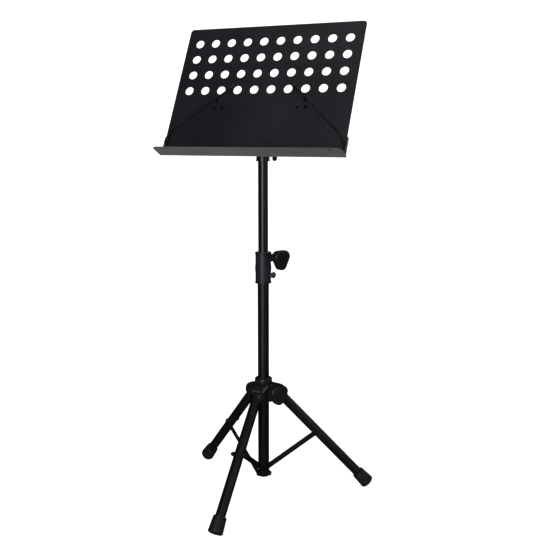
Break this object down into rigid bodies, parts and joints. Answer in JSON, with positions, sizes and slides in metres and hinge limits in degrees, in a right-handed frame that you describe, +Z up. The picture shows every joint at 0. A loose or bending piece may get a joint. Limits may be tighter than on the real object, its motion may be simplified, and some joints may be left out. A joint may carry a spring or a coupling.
{
  "type": "music stand",
  "caption": "Folding orchestral music stand: perforated tilting desk with ledge and page arms on a telescopic column with a braced folding tripod.",
  "frame": {"origin": "on the floor, at the middle of the overall box", "axes": "+Z up, +X along the desk to the reader's right, +Y away from the reader"},
  "size_m": [0.5128, 0.4491, 1.1987],
  "materials": {
    "black_tube": "semi-gloss black powder coat",
    "black_sheet": "fine matt black powder coat",
    "black_plastic": "moulded, fine grain",
    "clear_nylon": "natural nylon",
    "rubber": "matt moulded rubber",
    "black_steel": "black oxide",
    "bright_steel": "zinc plated",
    "brass": "turned"
  },
  "bodies": {
    "column": {"lower_tube": "black_tube", "column_plug": "black_plastic", "brace_studs": "black_steel", "height_collar": "black_plastic", "collar_bush": "clear_nylon", "pinch_screw": "bright_steel", "pinch_nut": "bright_steel", "height_knob_insert": "brass"},
    "glide": {"glide_sleeve": "clear_nylon"},
    "mast": {"upper_tube": "black_tube", "tube_cap": "black_plastic", "desk_socket": "black_plastic"},
    "socket_clamp": {"socket_pad": "clear_nylon"},
    "wing_screw": {"socket_wing_screw": "black_plastic"},
    "desk": {"desk_plate": "black_sheet", "ledge": "black_sheet", "ledge_rivets": "black_steel", "desk_bracket": "black_sheet", "bracket_rivets": "black_steel", "tilt_bolt": "black_steel", "friction_washers": "clear_nylon", "arm_screws": "black_steel", "arm_nuts": "bright_steel"},
    "tilt_clamp": {"tilt_washer": "black_steel"},
    "tilt_knob_turned": {"tilt_knob": "black_plastic"},
    "arm_left": {"page_arm_left": "black_steel", "page_arm_tip_left": "rubber"},
    "arm_right": {"page_arm_right": "black_steel", "page_arm_tip_right": "rubber"},
    "hub": {"hub_body": "black_plastic", "leg_pins": "black_steel", "hub_knob_insert": "brass"},
    "height_clamp": {"height_brake_pad": "clear_nylon"},
    "height_knob_turned": {"height_knob": "black_plastic", "height_knob_screw": "bright_steel"},
    "hub_clamp": {"hub_brake_pad": "clear_nylon"},
    "hub_knob_turned": {"hub_knob": "black_plastic", "hub_knob_screw": "bright_steel"},
    "leg_front": {"leg_tube_front": "black_tube", "leg_knuckle_front": "black_plastic", "leg_foot_front": "rubber", "leg_rivet_front": "black_steel"},
    "brace_front": {"brace_strap_front": "black_tube", "brace_rivet_front": "black_steel"},
    "leg_right": {"leg_tube_right": "black_tube", "leg_knuckle_right": "black_plastic", "leg_foot_right": "rubber", "leg_rivet_right": "black_steel"},
    "brace_right": {"brace_strap_right": "black_tube", "brace_rivet_right": "black_steel"},
    "leg_left": {"leg_tube_left": "black_tube", "leg_knuckle_left": "black_plastic", "leg_foot_left": "rubber", "leg_rivet_left": "black_steel"},
    "brace_left": {"brace_strap_left": "black_tube", "brace_rivet_left": "black_steel"}
  },
  "joints": [
    {"name": "height_slide", "type": "slide", "parent": "column", "child": "glide", "axis": [0, 0, 1], "range_m": [-0.19, 0.18]},
    {"name": "mast_swivel", "type": "hinge", "parent": "glide", "child": "mast", "pos_m": [0, 0.06789, 0.304], "axis": [0, 0, 1], "continuous": true},
    {"name": "desk_tilt", "type": "hinge", "parent": "mast", "child": "desk", "pos_m": [0, 0.06789, 0.945], "axis": [-1, 0, 0], "range_deg": [-27.2, 60]},
    {"name": "arm_right_turn", "type": "hinge", "parent": "desk", "child": "arm_right", "pos_m": [0.234, -0.00117, 0.91213], "axis": [0, 0.8894, -0.4571], "range_deg": [-40, 45]},
    {"name": "arm_left_turn", "type": "hinge", "parent": "desk", "child": "arm_left", "pos_m": [-0.234, -0.00117, 0.91213], "axis": [0, -0.8894, 0.4571], "range_deg": [-40, 45]},
    {"name": "hub_slide", "type": "slide", "parent": "column", "child": "hub", "axis": [0, 0, 1], "range_m": [0, 0.1138]},
    {"name": "height_clamp_slide", "type": "slide", "parent": "column", "child": "height_clamp", "axis": [0.9397, -0.342, 0], "range_m": [0, 0.00125]},
    {"name": "height_knob_turn", "type": "hinge", "parent": "height_clamp", "child": "height_knob_turned", "pos_m": [0.01879, 0.06105, 0.627], "axis": [0.9397, -0.342, 0], "range_deg": [0, 360]},
    {"name": "hub_clamp_slide", "type": "slide", "parent": "hub", "child": "hub_clamp", "axis": [0.866, -0.5, 0], "range_m": [0, 0.00125]},
    {"name": "hub_knob_turn", "type": "hinge", "parent": "hub_clamp", "child": "hub_knob_turned", "pos_m": [0.01905, 0.05689, 0.2824], "axis": [0.866, -0.5, 0], "range_deg": [0, 360]},
    {"name": "tilt_clamp_slide", "type": "slide", "parent": "desk", "child": "tilt_clamp", "axis": [1, 0, 0], "range_m": [0, 0.00125]},
    {"name": "tilt_knob_turn", "type": "hinge", "parent": "tilt_clamp", "child": "tilt_knob_turned", "pos_m": [0.0188, 0.06789, 0.945], "axis": [1, 0, 0], "range_deg": [0, 360]},
    {"name": "socket_clamp_slide", "type": "slide", "parent": "mast", "child": "socket_clamp", "axis": [1, 0, 0], "range_m": [0, 0.001]},
    {"name": "wing_screw_turn", "type": "hinge", "parent": "socket_clamp", "child": "wing_screw", "pos_m": [0.027, 0.06789, 0.884], "axis": [1, 0, 0], "range_deg": [0, 360]},
    {"name": "leg_front_fold", "type": "hinge", "parent": "hub", "child": "leg_front", "pos_m": [0, 0.02789, 0.2704], "axis": [1, 0, 0], "range_deg": [0, 42.7]},
    {"name": "brace_front_fold", "type": "hinge", "parent": "column", "child": "brace_front", "pos_m": [0.0163, 0.06789, 0.052], "axis": [-1, 0, 0], "range_deg": [0, 42.3]},
    {"name": "leg_right_fold", "type": "hinge", "parent": "hub", "child": "leg_right", "pos_m": [0.03464, 0.08789, 0.2704], "axis": [-0.5, 0.866, 0], "range_deg": [0, 42.7]},
    {"name": "brace_right_fold", "type": "hinge", "parent": "column", "child": "brace_right", "pos_m": [-0.00815, 0.08201, 0.052], "axis": [0.5, -0.866, 0], "range_deg": [0, 42.3]},
    {"name": "leg_left_fold", "type": "hinge", "parent": "hub", "child": "leg_left", "pos_m": [-0.03464, 0.08789, 0.2704], "axis": [-0.5, -0.866, 0], "range_deg": [0, 42.7]},
    {"name": "brace_left_fold", "type": "hinge", "parent": "column", "child": "brace_left", "pos_m": [-0.00815, 0.05378, 0.052], "axis": [0.5, 0.866, 0], "range_deg": [0, 42.3]}
  ],
  "couplings": [
    {"joint": "height_knob_turn", "follows": "height_clamp_slide", "rad_per_m": 5026.5},
    {"joint": "hub_knob_turn", "follows": "hub_clamp_slide", "rad_per_m": 5026.5},
    {"joint": "tilt_knob_turn", "follows": "tilt_clamp_slide", "rad_per_m": 5026.5},
    {"joint": "wing_screw_turn", "follows": "socket_clamp_slide", "rad_per_m": 6283.1},
    {"joint": "leg_front_fold", "follows": "hub_slide", "rad_per_m": 6.5211},
    {"joint": "brace_front_fold", "follows": "hub_slide", "rad_per_m": 6.4598},
    {"joint": "leg_right_fold", "follows": "hub_slide", "rad_per_m": 6.5211},
    {"joint": "brace_right_fold", "follows": "hub_slide", "rad_per_m": 6.4598},
    {"joint": "leg_left_fold", "follows": "hub_slide", "rad_per_m": 6.5211},
    {"joint": "brace_left_fold", "follows": "hub_slide", "rad_per_m": 6.4598}
  ]
}
